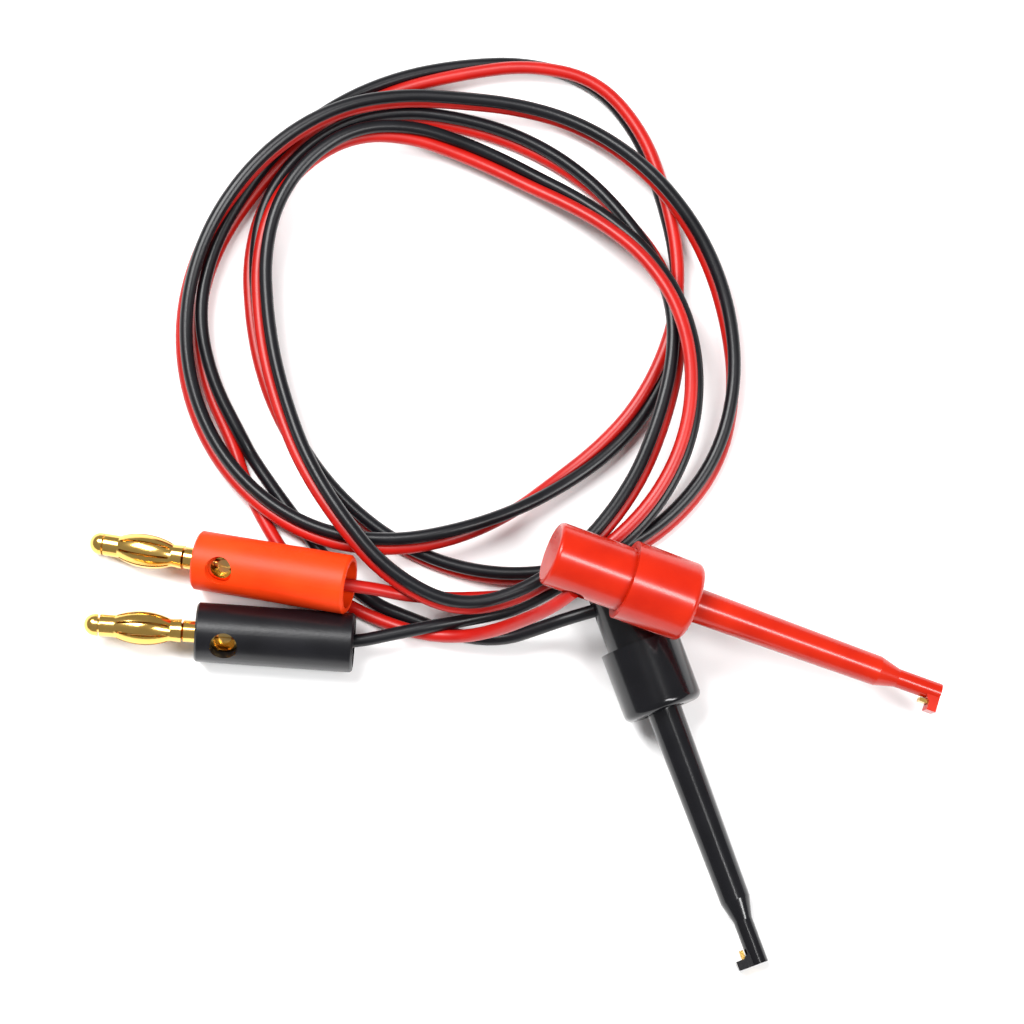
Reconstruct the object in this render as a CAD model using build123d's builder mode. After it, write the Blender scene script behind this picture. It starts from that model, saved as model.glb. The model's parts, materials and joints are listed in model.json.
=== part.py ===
from build123d import *
import math
import os

# Test lead: two lantern banana plugs, a bonded twin cord in a loose coil and two
# spring-loaded hook clips, lying on a table at z = 0.
# Each clip and plug is drawn along its own axis and placed by a plane.

# Hook clip, measured along its axis from the plunger's rear end
clip_length = 57.0
plunger_radius = 4.4
plunger_length = 13.5
collar_radius = 5.45
collar_start = 10.8
collar_length = 9.7
collar_bore = 4.46
collar_floor = 1.6
barrel_radius = 2.4
barrel_end_radius = 2.05
barrel_end = 47.8
nose_start = 50.7
nose_radius = 1.3
foot_reach = 2.9
foot_thickness = 1.3
foot_width = 2.2
wire_radius = 0.35
wire_bore = 0.45
hook_offset = 1.75
hook_width = 1.2
hook_thickness = 0.55
wire_slot_place = 4.6
spring_radius = 2.7
spring_wire = 0.4
spring_seat = 9.3
terminal_end = 9.0

# Where each clip's tip lies, with its heading and its dip below level, in degrees
red_clip = ((27.09, 8.47, 6.6), -17.3, 15.0)
black_clip = ((2.68, -27.67, 1.32), -69.5, 6.3)

# Banana plug, measured along its axis from the sleeve's front face
sleeve_radius = 4.05
sleeve_length = 21.5
sleeve_socket = 3.25
sleeve_thread = 2.55
body_radius = 2.5
body_length = 13.0
shoulder_radius = 1.5
shoulder_length = 1.7
pin_radius = 1.0
pin_length = 15.3
dome_length = 1.9
dome_height = 1.4
cage_start = 2.0
cage_end = 13.15
cage_bore = 1.05
cage_radius = 1.52
cage_bulge = 2.33
cage_wall = 0.3
neck_end = 3.5
band_start = 11.1
leaf_count = 8
leaf_gap = 0.3
hole_place = -4.0
sleeve_hole = 1.88
body_hole = 1.45
screw_radius = 0.9
screw_length = 0.4
strand_radius = 0.6

# Where each plug's sleeve front lies, with its heading, dip and the roll of its hole
red_plug = ((-73.45, 27.4, 4.02), 168.6, 9.2, 116.0)
black_plug = ((-73.55, 17.4, 4.07), 175.9, 0.0, 128.0)

# Cord
wire = 1.8
coil_height = 8.0
coil_outer = [
    (1.45, 55.1), (-0.75, 42.1), (-8.75, 30.1), (-16.75, 27.4), (-25.75, 22.9), (-38.55, 19),
    (-47.25, 22.5), (-50.85, 27), (-56.25, 30.3), (-65.95, 34.1), (-75.25, 50.1), (-75.95, 68.1),
    (-66.75, 83.6), (-49.25, 94.5), (-27.25, 98.1), (-12.05, 88.5), (-1.25, 70.1),
]
coil_inner = [
    (-10.45, 64), (-17.95, 72.9), (-28.95, 79.4), (-47.25, 86.1), (-60.75, 79.6), (-63.75, 66.1),
    (-60.75, 49.6), (-47.75, 32.6), (-39.25, 31.6), (-22.75, 41.2), (-11.75, 51.6),
]
red_clip_route = [
    (-66.65, 36.4, 1.0), (-60.45, 26.6, 1.0), (-52.65, 21.2, 1.0), (-44.05, 17.6, 2.0),
    (-37.85, 16.7, 3.4), (-32.8, 16.9, 7.6), (-28.6, 17.5, 12.8), (-25, 18.2, 17.6), (-22.5, 19.7, 20.1),
]
black_clip_route = [
    (-59.35, 32.5, 1.0), (-54.65, 26.3, 1.0), (-49.55, 21.9, 1.0), (-43.85, 19.6, 1.0),
    (-37.85, 17.3, 1.0), (-31.95, 16.6, 2.0), (-26.6, 17.9, 4.6), (-22.6, 19, 6.4), (-18.9, 19.9, 7.0),
]
red_plug_route = [(-55.85, 23.8, 6.9), (-52.65, 23.2, 7.2), (-49.65, 23, 6.6), (-46.45, 23.4, 5.6)]
black_plug_route = [(-55.85, 16, 4.05), (-51.45, 16.1, 4.0), (-46.45, 17.5, 4.1), (-41.25, 20.1, 3.9)]


def lying(origin, heading, dip, roll=0.0):
    """A plane whose z runs along a lying piece and whose x, at roll 0, is level."""
    h, d, r = (math.radians(a) for a in (heading, dip, roll))
    along = Vector(math.cos(d) * math.cos(h), math.cos(d) * math.sin(h), -math.sin(d))
    level = Vector(math.sin(h), -math.cos(h), 0)
    up = level.cross(along)
    return Plane(origin, x_dir=level * math.cos(r) + up * math.sin(r), z_dir=along)


def clip_plane(place):
    tip, heading, dip = place
    frame = lying(tip, heading, dip)
    return frame.offset(-clip_length)


def lengthwise(frame):
    """The plane through a piece's axis, in which x is radius and y is length."""
    return Plane(frame.origin, x_dir=frame.x_dir, z_dir=-frame.y_dir)


def crosswise(frame, height, start):
    """The plane across a side hole: its normal is the piece's x, start from the axis."""
    origin = frame.from_local_coords(Vector(start, 0, height))
    return Plane(origin, x_dir=frame.z_dir, z_dir=frame.x_dir)


def axis_of(frame):
    return Axis(frame.origin, frame.z_dir)


def write(part, name):
    part.label = name
    export_step(part, f"parts/{name}.step")


def make_barrel(colour, frame):
    collar_front = collar_start + collar_length
    flange_front = collar_front - collar_floor
    with BuildPart() as barrel:
        with BuildSketch(lengthwise(frame)):
            with BuildLine():
                Polyline(
                    (wire_bore, flange_front - 1.0),
                    (barrel_radius + 1.0, flange_front - 1.0),
                    (barrel_radius + 1.0, flange_front),
                    (barrel_radius, flange_front),
                    (barrel_end_radius, barrel_end),
                    (nose_radius, nose_start),
                    (nose_radius, clip_length),
                    (wire_bore, clip_length),
                    close=True,
                )
            make_face()
        revolve(axis=axis_of(frame))
        # The foot at the tip, with a root wider than its end
        with BuildSketch(lengthwise(frame)):
            with BuildLine():
                Polyline(
                    (nose_radius - 0.5, clip_length - foot_thickness - 0.6),
                    (nose_radius + 0.1, clip_length - foot_thickness - 0.35),
                    (nose_radius + 0.4, clip_length - foot_thickness),
                    (foot_reach, clip_length - foot_thickness),
                    (foot_reach, clip_length),
                    (nose_radius - 0.5, clip_length),
                    close=True,
                )
            make_face()
        extrude(amount=foot_width / 2, both=True)
        # Groove across the foot's front and the notch that the hook's return leg passes
        with BuildSketch(frame.offset(clip_length)):
            with Locations((hook_offset / 2, 0)):
                Rectangle(hook_offset + hook_thickness + 0.2, hook_width + 0.2)
        extrude(amount=-(hook_thickness + 0.1), mode=Mode.SUBTRACT)
        with BuildSketch(frame.offset(clip_length)):
            with Locations((hook_offset, 0)):
                Rectangle(hook_thickness + 0.2, hook_width + 0.2)
        extrude(amount=-(foot_thickness + 1.0), mode=Mode.SUBTRACT)
    write(barrel.part, f"{colour}_barrel")


def make_collar(colour, frame):
    front = collar_start + collar_length
    with BuildPart() as collar:
        with BuildSketch(lengthwise(frame)):
            with BuildLine():
                Polyline(
                    (collar_bore, collar_start),
                    (collar_radius, collar_start),
                    (collar_radius, front - 1.0),
                )
                ThreePointArc(
                    (collar_radius, front - 1.0),
                    (collar_radius - 0.293, front - 0.293),
                    (collar_radius - 1.0, front),
                )
                Polyline(
                    (collar_radius - 1.0, front),
                    (barrel_radius + 0.45, front),
                    (barrel_radius + 0.45, front - 0.5),
                    (barrel_radius + 0.03, front - 0.5),
                    (barrel_radius + 0.03, front - collar_floor),
                    (collar_bore, front - collar_floor),
                    (collar_bore, collar_start),
                )
            make_face()
        revolve(axis=axis_of(frame))
    write(collar.part, f"{colour}_finger_collar")


def make_plunger(colour, frame):
    with BuildPart() as plunger:
        with BuildSketch(lengthwise(frame)):
            with BuildLine():
                Polyline(
                    (0, 0),
                    (plunger_radius - 0.6, 0),
                )
                ThreePointArc(
                    (plunger_radius - 0.6, 0),
                    (plunger_radius - 0.176, 0.176),
                    (plunger_radius, 0.6),
                )
                Polyline(
                    (plunger_radius, 0.6),
                    (plunger_radius, plunger_length),
                    (spring_radius + 0.5, plunger_length),
                    (spring_radius + 0.5, spring_seat),
                    (1.25, spring_seat),
                    (1.25, 1.6),
                    (0, 1.6),
                    (0, 0),
                )
            make_face()
        revolve(axis=axis_of(frame))
        # Side hole for the wire, and a shallow guide groove opposite it
        with BuildSketch(crosswise(frame, wire_slot_place, 0)):
            SlotOverall(wire + 1.4, wire + 0.5)
        extrude(amount=plunger_radius + 1, mode=Mode.SUBTRACT)
        with BuildSketch(frame.offset(5.6)):
            with Locations((-plunger_radius, 0)):
                Rectangle(0.8, 1.2)
        extrude(amount=plunger_length, mode=Mode.SUBTRACT)
    write(plunger.part, f"{colour}_plunger")


def make_hook_wire(colour, frame):
    front = clip_length - 0.02
    with BuildPart() as hook:
        with BuildSketch(frame.offset(terminal_end - 5.0)):
            Circle(wire_radius)
        extrude(amount=front - terminal_end + 5.0 - hook_thickness / 2)
        # The flattened end: across the tip and back beside the nose
        with BuildSketch(lengthwise(frame)):
            with Locations((hook_offset / 2, front - hook_thickness / 2)):
                Rectangle(hook_offset + hook_thickness, hook_thickness)
            with Locations((hook_offset, front - 1.25)):
                Rectangle(hook_thickness, 2.5)
        extrude(amount=hook_width / 2, both=True)
    write(hook.part, f"{colour}_hook_wire")


def make_clip_inside(colour, frame):
    with BuildPart() as terminal:
        with BuildSketch(frame.offset(1.7)):
            Circle(1.2)
            Circle(wire_radius + 0.02, mode=Mode.SUBTRACT)
        extrude(amount=terminal_end - 1.7)
        with BuildSketch(crosswise(frame, wire_slot_place, 0)):
            Circle(strand_radius + 0.05)
        extrude(amount=2, mode=Mode.SUBTRACT)
        with BuildSketch(frame.offset(1.7)):
            Circle(wire_radius + 0.02)
        extrude(amount=terminal_end - 1.7, mode=Mode.SUBTRACT)
    write(terminal.part, f"{colour}_solder_terminal")

    with BuildPart() as strands:
        with BuildSketch(crosswise(frame, wire_slot_place, wire_radius + 0.02)):
            Circle(strand_radius)
        extrude(amount=3.0 - wire_radius)
    write(strands.part, f"{colour}_clip_strands")

    with BuildPart() as washer:
        with BuildSketch(frame.offset(spring_seat + 0.01)):
            Circle(spring_radius + 0.4)
            Circle(0.6, mode=Mode.SUBTRACT)
        extrude(amount=0.4)
    write(washer.part, f"{colour}_spring_washer")

    seat = spring_seat + 0.45 + spring_wire
    length = collar_start + collar_length - collar_floor - 1.05 - spring_wire - seat
    with BuildPart() as spring:
        with BuildLine() as coil:
            Helix(
                pitch=length / 5,
                height=length,
                radius=spring_radius - spring_wire,
                center=frame.offset(seat).origin,
                direction=frame.z_dir,
            )
        with BuildSketch(Plane(coil.line @ 0, z_dir=coil.line % 0)):
            Circle(spring_wire)
        sweep(is_frenet=True)
    write(spring.part, f"{colour}_return_spring")


def make_clip(colour, place):
    frame = clip_plane(place)
    make_barrel(colour, frame)
    make_collar(colour, frame)
    make_plunger(colour, frame)
    make_hook_wire(colour, frame)
    make_clip_inside(colour, frame)


def make_pin_core(colour, frame):
    cap = shoulder_radius
    rim = pin_length - dome_height
    dome_radius = (cap**2 + dome_height**2) / (2 * dome_height)
    half_arc = math.asin(cap / dome_radius) / 2
    crown = (dome_radius * math.sin(half_arc), pin_length - dome_radius * (1 - math.cos(half_arc)))
    with BuildPart() as core:
        with BuildSketch(lengthwise(frame)):
            with BuildLine():
                Polyline(
                    (0, -2.5),
                    (strand_radius + 0.1, -2.5),
                    (strand_radius + 0.1, -body_length),
                    (body_radius, -body_length),
                    (body_radius, -1.2),
                    (shoulder_radius, -1.2),
                    (shoulder_radius, shoulder_length),
                    (pin_radius, shoulder_length + 0.3),
                    (pin_radius, pin_length - dome_length),
                    (cap, pin_length - dome_length),
                    (cap, rim),
                )
                ThreePointArc((cap, rim), crown, (0, pin_length))
                Line((0, pin_length), (0, -2.5))
            make_face()
        revolve(axis=axis_of(frame))
        with BuildSketch(crosswise(frame, hole_place, strand_radius / 2)):
            Circle(body_hole)
        extrude(amount=body_radius + 1, mode=Mode.SUBTRACT)
    write(core.part, f"{colour}_pin_core")


def make_cage(colour, frame):
    middle = (neck_end + band_start) / 2
    inner = cage_radius - cage_wall
    with BuildPart() as cage:
        with BuildSketch(lengthwise(frame)):
            with BuildLine():
                Polyline((cage_bore, cage_start), (cage_radius + 0.1, cage_start))
                Line((cage_radius + 0.1, cage_start), (cage_radius, neck_end))
                ThreePointArc(
                    (cage_radius, neck_end), (cage_bulge, middle), (cage_radius, band_start)
                )
                Polyline((cage_radius, band_start), (cage_radius, cage_end), (cage_bore, cage_end))
                Polyline((cage_bore, cage_end), (cage_bore, band_start), (inner, band_start))
                ThreePointArc(
                    (inner, band_start), (cage_bulge - cage_wall, middle), (inner, neck_end)
                )
                Polyline((inner, neck_end), (cage_bore, neck_end), (cage_bore, cage_start))
            make_face()
        revolve(axis=axis_of(frame))
        with BuildSketch(frame.offset(neck_end + 0.3)):
            with PolarLocations(cage_radius + 0.4, leaf_count):
                Rectangle(2.0, leaf_gap)
        extrude(amount=band_start - neck_end - 0.6, mode=Mode.SUBTRACT)
    write(cage.part, f"{colour}_lantern_cage")


def make_sleeve(colour, frame):
    with BuildPart() as sleeve:
        with BuildSketch(lengthwise(frame)):
            with BuildLine():
                Polyline(
                    (shoulder_radius + 0.05, 0),
                    (sleeve_radius - 0.25, 0),
                    (sleeve_radius, -0.25),
                    (sleeve_radius, -sleeve_length + 0.3),
                    (sleeve_radius - 0.3, -sleeve_length),
                    (sleeve_socket, -sleeve_length),
                    (sleeve_socket, -body_length - 0.5),
                    (sleeve_thread, -body_length - 0.5),
                    (sleeve_thread, -1.15),
                    (shoulder_radius + 0.05, -1.15),
                    close=True,
                )
            make_face()
        revolve(axis=axis_of(frame))
        with BuildSketch(crosswise(frame, hole_place, 0)):
            Circle(sleeve_hole)
        extrude(amount=sleeve_radius + 1, mode=Mode.SUBTRACT)
    write(sleeve.part, f"{colour}_sleeve")


def make_plug_inside(colour, frame):
    with BuildPart() as screw:
        with BuildSketch(crosswise(frame, hole_place, strand_radius + 0.03)):
            Circle(screw_radius)
        extrude(amount=screw_length)
        with BuildSketch(crosswise(frame, hole_place, strand_radius + screw_length + 0.03)):
            Rectangle(3, 0.3)
        extrude(amount=-0.2, mode=Mode.SUBTRACT)
    write(screw.part, f"{colour}_clamp_screw")

    with BuildPart() as strands:
        with BuildSketch(frame.offset(-2.6)):
            Circle(strand_radius)
        extrude(amount=-(body_length - 2.6 + 1.5))
    write(strands.part, f"{colour}_plug_strands")


def make_plug(colour, place):
    frame = lying(*place)
    make_pin_core(colour, frame)
    make_cage(colour, frame)
    make_sleeve(colour, frame)
    make_plug_inside(colour, frame)


def corner_radii(route):
    """The radius at each inner point: 0.45 of the shorter run over tan(half the turn)."""
    radii = []
    for a, b, c in zip(route, route[1:], route[2:]):
        before = Vector(*b) - Vector(*a)
        after = Vector(*c) - Vector(*b)
        half_turn = math.radians(before.get_angle(after)) / 2
        radii.append(0.45 * min(before.length, after.length) / math.tan(half_turn))
    return radii


def make_tail(name, route):
    radii = corner_radii(route)
    with BuildPart() as tail:
        with BuildLine() as path:
            FilletPolyline(*route, radius=radii)
        with BuildSketch(Plane(path.line @ 0, z_dir=path.line % 0)):
            Circle(wire / 2)
        sweep()
    expected = math.pi * wire**2 / 4 * path.wire().length
    print(name, "radii", [round(r, 1) for r in radii])
    print(name, "volume over section times length", round(tail.part.volume / expected, 4))
    write(tail.part, name)


def make_coil():
    with BuildPart() as coil:
        with BuildSketch():
            with BuildLine():
                Spline(*coil_outer, periodic=True)
            make_face()
            with BuildLine():
                Spline(*coil_inner, periodic=True)
            make_face(mode=Mode.SUBTRACT)
        extrude(amount=coil_height)
    write(coil.part, "cord_coil")


os.makedirs("parts", exist_ok=True)
make_clip("red", red_clip)
make_clip("black", black_clip)
make_plug("red", red_plug)
make_plug("black", black_plug)
make_coil()
make_tail("red_clip_tail", red_clip_route)
make_tail("black_clip_tail", black_clip_route)
make_tail("red_plug_tail", red_plug_route)
make_tail("black_plug_tail", black_plug_route)
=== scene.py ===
import json
import math

import bpy
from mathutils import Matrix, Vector


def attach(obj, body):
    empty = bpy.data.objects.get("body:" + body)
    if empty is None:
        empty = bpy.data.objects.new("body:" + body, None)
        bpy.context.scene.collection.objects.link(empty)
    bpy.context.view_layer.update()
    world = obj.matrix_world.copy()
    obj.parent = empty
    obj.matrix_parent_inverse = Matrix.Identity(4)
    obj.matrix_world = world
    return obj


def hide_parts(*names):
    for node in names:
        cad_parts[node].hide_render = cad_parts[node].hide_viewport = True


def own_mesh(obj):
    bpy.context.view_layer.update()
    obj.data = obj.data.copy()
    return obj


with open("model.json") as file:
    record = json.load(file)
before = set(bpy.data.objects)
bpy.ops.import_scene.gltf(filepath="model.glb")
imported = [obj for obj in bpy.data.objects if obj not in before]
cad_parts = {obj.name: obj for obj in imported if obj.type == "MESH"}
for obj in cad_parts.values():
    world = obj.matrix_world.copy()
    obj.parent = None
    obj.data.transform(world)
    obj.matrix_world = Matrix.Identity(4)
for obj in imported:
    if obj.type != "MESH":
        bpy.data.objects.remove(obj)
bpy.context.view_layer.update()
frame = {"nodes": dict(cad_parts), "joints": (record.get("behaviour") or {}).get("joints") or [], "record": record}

MM = 0.001

# ---------------------------------------------------------------- camera and light

LOOK_AT = Vector((-30.65, 34.9, 0.0)) * MM
CAMERA_DISTANCE = 0.9
CAMERA_ELEVATION = math.radians(78)
VIEW_WIDTH = 140.3 * MM

WORLD_STRENGTH = 0.34
FLOOR_SIZE = 3
FLOOR_DROP = 0.05 * MM

# Each light: its place in m, its two sides in m and its power in W
LIGHTS = {
    "key": ((-0.35, 0.30, 0.75), (0.30, 0.55), 11.0),
    "fill": ((0.42, -0.20, 0.70), (0.14, 0.60), 6.5),
}


def make_camera():
    data = bpy.data.cameras.new("camera")
    data.lens = data.sensor_width * CAMERA_DISTANCE / VIEW_WIDTH
    data.clip_start = 0.05
    camera = bpy.data.objects.new("camera", data)
    bpy.context.scene.collection.objects.link(camera)
    away = Vector((0, -math.cos(CAMERA_ELEVATION), math.sin(CAMERA_ELEVATION)))
    camera.location = LOOK_AT + away * CAMERA_DISTANCE
    camera.rotation_euler = (math.pi / 2 - CAMERA_ELEVATION, 0, 0)
    bpy.context.scene.camera = camera


def make_light(name, place, size, power):
    data = bpy.data.lights.new(name, "AREA")
    data.shape = "RECTANGLE"
    data.size, data.size_y = size
    data.energy = power
    light = bpy.data.objects.new(name, data)
    light.location = place
    light.rotation_euler = (LOOK_AT - Vector(place)).to_track_quat("-Z", "Y").to_euler()
    bpy.context.scene.collection.objects.link(light)


def make_studio():
    scene = bpy.context.scene
    scene.view_settings.view_transform = "Standard"
    scene.view_settings.look = "None"
    world = bpy.data.worlds.new("studio")
    world.use_nodes = True
    background = world.node_tree.nodes["Background"]
    background.inputs["Color"].default_value = (1.0, 1.0, 1.0, 1.0)
    background.inputs["Strength"].default_value = WORLD_STRENGTH
    scene.world = world
    for name, light in LIGHTS.items():
        make_light(name, *light)
    bpy.ops.mesh.primitive_plane_add(size=FLOOR_SIZE, location=(0, 0, -FLOOR_DROP))
    floor = bpy.context.object
    floor.name = "floor"
    floor.data.materials.append(make_floor_material())


# ---------------------------------------------------------------- materials

# Noise scales: the broad mottle of the tones and the fine grain of the bump
MOTTLE_PLASTIC = 180
MOTTLE_METAL = 300
GRAIN_PLASTIC = 2600
GRAIN_METAL = 1800

# How deep each grain's bump is, and how strong it is on every metal
BUMP_PLASTIC = 0.04 * MM
BUMP_METAL = 0.03 * MM
METAL_GRAIN = 0.12

# Where the first tone ends and the second begins, on the mottle's range of 0 to 1
FIRST_TONE_END = 0.3
SECOND_TONE_START = 0.7

PLASTIC_IOR = 1.49
COAT_ROUGHNESS = 0.12
FLOOR_SHADE = 0.93


def new_material(name):
    material = bpy.data.materials.new(name)
    material.use_nodes = True
    return material, material.node_tree, material.node_tree.nodes["Principled BSDF"]


def add_noise(tree, scale, detail=3.0):
    where = tree.nodes.new("ShaderNodeTexCoord")
    noise = tree.nodes.new("ShaderNodeTexNoise")
    noise.inputs["Scale"].default_value = scale
    noise.inputs["Detail"].default_value = detail
    tree.links.new(where.outputs["Object"], noise.inputs["Vector"])
    return noise.outputs["Fac"]


def spread_between(tree, factor, low, high):
    remap = tree.nodes.new("ShaderNodeMapRange")
    remap.inputs["To Min"].default_value = low
    remap.inputs["To Max"].default_value = high
    tree.links.new(factor, remap.inputs["Value"])
    return remap.outputs["Result"]


def two_tone(tree, factor, first, second):
    ramp = tree.nodes.new("ShaderNodeValToRGB")
    ramp.color_ramp.elements[0].position = FIRST_TONE_END
    ramp.color_ramp.elements[0].color = (*first, 1)
    ramp.color_ramp.elements[1].position = SECOND_TONE_START
    ramp.color_ramp.elements[1].color = (*second, 1)
    tree.links.new(factor, ramp.inputs["Fac"])
    return ramp.outputs["Color"]


def add_bump(tree, shader, factor, strength, distance):
    bump = tree.nodes.new("ShaderNodeBump")
    bump.inputs["Strength"].default_value = strength
    bump.inputs["Distance"].default_value = distance
    tree.links.new(factor, bump.inputs["Height"])
    tree.links.new(bump.outputs["Normal"], shader.inputs["Normal"])


def make_floor_material():
    material, tree, shader = new_material("floor")
    shader.inputs["Base Color"].default_value = (FLOOR_SHADE, FLOOR_SHADE, FLOOR_SHADE, 1)
    shader.inputs["Roughness"].default_value = 0.9
    shader.inputs["Specular IOR Level"].default_value = 0.1
    return material


def make_plastic(name, tones, roughness, grain, coat=0.0, shine=0.5):
    material, tree, shader = new_material(name)
    mottle = add_noise(tree, MOTTLE_PLASTIC)
    tree.links.new(two_tone(tree, mottle, *tones), shader.inputs["Base Color"])
    tree.links.new(spread_between(tree, mottle, *roughness), shader.inputs["Roughness"])
    shader.inputs["IOR"].default_value = PLASTIC_IOR
    shader.inputs["Coat Weight"].default_value = coat
    shader.inputs["Coat Roughness"].default_value = COAT_ROUGHNESS
    shader.inputs["Specular IOR Level"].default_value = shine
    add_bump(tree, shader, add_noise(tree, GRAIN_PLASTIC, detail=5), grain, BUMP_PLASTIC)
    return material


def make_metal(name, tones, roughness):
    material, tree, shader = new_material(name)
    mottle = add_noise(tree, MOTTLE_METAL)
    tree.links.new(two_tone(tree, mottle, *tones), shader.inputs["Base Color"])
    tree.links.new(spread_between(tree, mottle, *roughness), shader.inputs["Roughness"])
    shader.inputs["Metallic"].default_value = 1.0
    add_bump(tree, shader, add_noise(tree, GRAIN_METAL, detail=4), METAL_GRAIN, BUMP_METAL)
    return material


MATERIALS = {
    "red_gloss": make_plastic(
        "red_gloss", ((0.40, 0.009, 0.0006), (0.48, 0.014, 0.0010)), (0.20, 0.28), 0.10, 0.15, 0.3
    ),
    "black_gloss": make_plastic(
        "black_gloss",
        ((0.0022, 0.0022, 0.0032), (0.004, 0.004, 0.0055)),
        (0.15, 0.22), 0.10, 0.15, 0.35,
    ),
    "red_satin": make_plastic(
        "red_satin", ((0.74, 0.036, 0.001), (0.84, 0.048, 0.002)), (0.42, 0.52), 0.35, shine=0.25
    ),
    "black_satin": make_plastic(
        "black_satin",
        ((0.0028, 0.0028, 0.0040), (0.0055, 0.0055, 0.0075)),
        (0.27, 0.36), 0.30, shine=0.4,
    ),
    "red_cord": make_plastic(
        "red_cord", ((0.36, 0.004, 0.002), (0.45, 0.007, 0.003)), (0.32, 0.42), 0.22, shine=0.4
    ),
    "black_cord": make_plastic(
        "black_cord",
        ((0.0030, 0.0030, 0.0042), (0.0055, 0.0055, 0.0075)),
        (0.28, 0.38), 0.22, shine=0.32,
    ),
    "gold_plate": make_metal("gold_plate", ((0.78, 0.48, 0.12), (0.86, 0.56, 0.16)), (0.12, 0.22)),
    "brass": make_metal("brass", ((0.70, 0.48, 0.18), (0.76, 0.54, 0.22)), (0.24, 0.36)),
    "copper": make_metal("copper", ((0.72, 0.36, 0.20), (0.80, 0.44, 0.26)), (0.25, 0.40)),
    "spring_steel": make_metal("spring_steel", ((0.5, 0.5, 0.5), (0.6, 0.6, 0.6)), (0.2, 0.3)),
}


def dress_cad_nodes():
    """Every CAD node that stays takes its slot's material."""
    slots = {s["node"]: s["material_slot"] for s in frame["record"]["subparts"]}
    for name, node in frame["nodes"].items():
        node.data.materials.clear()
        node.data.materials.append(MATERIALS[slots[name]])


# ---------------------------------------------------------------- the twin cord

WIRE = 1.8
PAIR_OFFSET = 0.88
COIL_CENTRE = (-37.75, 62.3)
COIL_STRETCH = 1.015
COIL_START = -60
STATION_STEP = 30
POINT_STEP = 15

# The coil's turns, one station every 30 degrees from 60 degrees below +X: radius,
# height of the pair's middle, and the roll of the black wire (0 is outward, 90 is up)
TURNS = [
    # first turn, on top
    (39.3, 5.2, -60), (36.2, 6.6, -60), (30.2, 8.0, -60), (23.4, 6.6, -40),
    (20.5, 4.4, -10), (22.7, 4.2, 15), (28.6, 5.6, 65), (29.5, 5.8, 115),
    (27.1, 5.6, 135), (27.9, 6.4, 135), (33.5, 8.0, 120), (42.1, 7.0, 105),
    # second turn
    (36.9, 6.4, 115), (31.7, 5.4, 120), (29.6, 5.4, 115), (26.3, 3.0, 98),
    (25.4, 1.9, 65), (26.9, 1.9, 62), (30.9, 1.9, 75), (31.4, 1.9, 100),
    (28.3, 1.9, 130), (28.3, 1.9, 120), (30.8, 1.9, 95), (35.6, 1.9, 100),
    # third turn
    (39.6, 1.9, 110), (40.9, 1.9, 112), (36.8, 3.2, 65), (32.9, 5.5, 80),
    (30.5, 4.4, 85), (29.3, 4.6, 80), (32.6, 5.4, 80), (35.3, 5.3, 85),
    (38.2, 3.6, 110), (38.8, 2.8, 117), (36.5, 4.5, 126), (31.0, 4.8, 118),
    # fourth turn
    (27.1, 1.9, 40), (28.1, 1.9, -10), (29.9, 1.9, -80), (32.5, 1.9, -106),
    (37.8, 1.9, -96), (34.4, 1.9, -30), (33.4, 1.9, 10), (33.9, 2.4, 60),
    (36.2, 2.3, 100), (35.2, 1.4, 140),
]

# The single wires' ends: plug tails before the coil and clip tails after it, in mm
RED_PLUG_TAIL = [
    (-60.25, 24.8, 6.3), (-55.85, 23.9, 6.9), (-52.65, 23.2, 7.1), (-49.35, 22.9, 6.4),
    (-45.25, 22.4, 4.4), (-39.75, 22.2, 2.9), (-33.75, 22.4, 2.7), (-28.25, 22.7, 3.4),
]
BLACK_PLUG_TAIL = [
    (-60.25, 16.3, 4.05), (-55.85, 16, 4.05), (-51.45, 16.1, 4.0), (-46.45, 17.2, 3.9),
    (-40.75, 18.4, 3.8), (-34.75, 19.7, 2.6), (-29.25, 21, 2.4),
]
RED_CLIP_TAIL = [
    (-68, 41.1, 0.95), (-65.4, 34.7, 1.0), (-60.45, 26.6, 1.0), (-52.65, 21.2, 1.0),
    (-44.05, 17.6, 2.0), (-37.85, 16.7, 3.4), (-32.8, 16.9, 7.6), (-28.6, 17.5, 12.8),
    (-25, 18.2, 17.6), (-22.5, 19.7, 20.1),
]
BLACK_CLIP_TAIL = [
    (-66.35, 42.4, 1.0), (-62.95, 37.4, 1.0), (-59.35, 32.5, 1.0), (-54.65, 26.3, 1.0),
    (-49.55, 21.9, 1.0), (-43.85, 19.6, 1.0), (-37.85, 17.3, 1.0), (-31.95, 16.6, 2.0),
    (-26.6, 17.9, 4.6), (-22.6, 19, 6.4), (-18.9, 19.9, 7.0),
]


def between(values, place):
    """A smooth value at a fractional place in a list, through its own values."""
    i = min(int(place), len(values) - 2)
    t = place - i
    a, b, c, d = (values[min(max(i + k, 0), len(values) - 1)] for k in (-1, 0, 1, 2))
    slope_in, slope_out = (c - a) / 2, (d - b) / 2
    return (
        b * (2 * t**3 - 3 * t**2 + 1)
        + slope_in * (t**3 - 2 * t**2 + t)
        + c * (3 * t**2 - 2 * t**3)
        + slope_out * (t**3 - t**2)
    )


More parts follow.
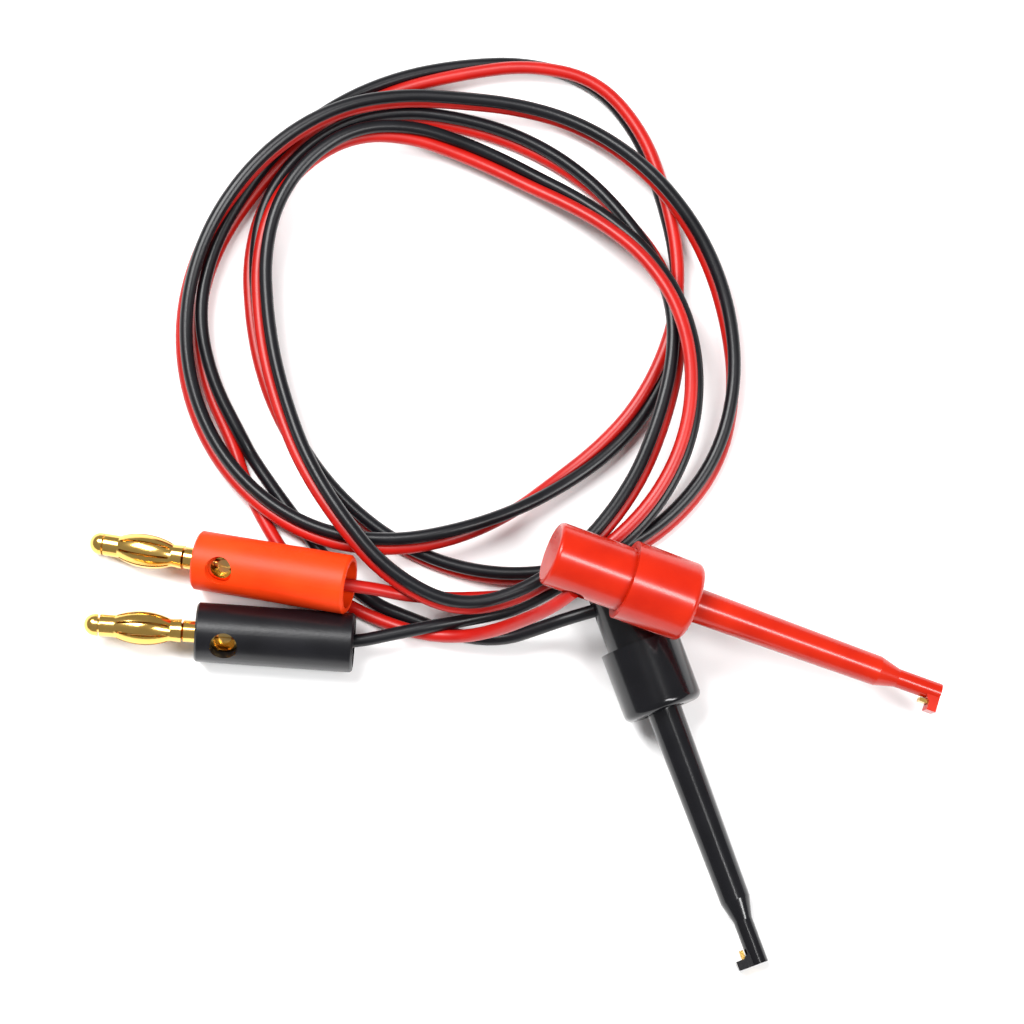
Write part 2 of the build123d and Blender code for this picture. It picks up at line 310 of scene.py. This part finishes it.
def coil_points(side):
    """One wire's points round the coil. side is 1 for black and -1 for red."""
    radii, heights, rolls = zip(*TURNS)
    middles, tilts = [], []
    for k in range((len(TURNS) - 1) * STATION_STEP // POINT_STEP + 1):
        place = k * POINT_STEP / STATION_STEP
        turn = math.radians(k * POINT_STEP + COIL_START)
        reach = between(radii, place)
        middles.append(Vector((
            COIL_CENTRE[0] + reach * math.cos(turn),
            COIL_CENTRE[1] + reach * math.sin(turn) * COIL_STRETCH,
            between(heights, place),
        )))
        tilts.append(math.radians(between(rolls, place)))
    points = []
    for k, (middle, tilt) in enumerate(zip(middles, tilts)):
        ahead = middles[min(k + 1, len(middles) - 1)] - middles[max(k - 1, 0)]
        outward = Vector((ahead.y, -ahead.x, 0)).normalized()
        lean = outward * math.cos(tilt) + Vector((0, 0, 1)) * math.sin(tilt)
        points.append(middle + lean * PAIR_OFFSET * side)
    return points


def make_cord(name, points, material):
    data = bpy.data.curves.new(name, "CURVE")
    data.dimensions = "3D"
    data.resolution_u = 8
    data.bevel_depth = WIRE / 2 * MM
    data.bevel_resolution = 6
    data.use_fill_caps = True
    spline = data.splines.new("NURBS")
    spline.points.add(len(points) - 1)
    for point, place in zip(spline.points, points):
        point.co = (*(Vector(place) * MM), 1)
    spline.order_u = 3
    spline.use_endpoint_u = True
    spline.use_smooth = True
    cord = bpy.data.objects.new(name, data)
    bpy.context.scene.collection.objects.link(cord)
    cord.data.materials.append(material)
    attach(cord, "lead")
    return cord


def make_cords():
    red = make_cord(
        "red_wire", RED_PLUG_TAIL + coil_points(-1) + RED_CLIP_TAIL, MATERIALS["red_cord"]
    )
    black = make_cord(
        "black_wire", BLACK_PLUG_TAIL + coil_points(1) + BLACK_CLIP_TAIL, MATERIALS["black_cord"]
    )
    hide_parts("red_clip_tail", "red_plug_tail")
    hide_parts("black_clip_tail", "black_plug_tail", "cord_coil")


# ---------------------------------------------------------------- return springs


def make_springs():
    """Each return spring of a joint that is not continuous is copied in spring steel onto the lead, and its CAD
    node hidden.
    """
    for joint in frame["joints"]:
        if joint.get("continuous"):
            continue
        colour = joint["name"].split("_")[0]
        node = frame["nodes"][f"{colour}_return_spring"]
        spring = bpy.data.objects.new(f"{colour}_spring_coil", node.data.copy())
        spring.matrix_world = node.matrix_world
        bpy.context.scene.collection.objects.link(spring)
        spring.data.materials.clear()
        spring.data.materials.append(MATERIALS["spring_steel"])
        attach(spring, "lead")
        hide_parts(node.name)
        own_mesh(spring)


make_camera()
make_cords()
make_springs()
make_studio()
dress_cad_nodes()
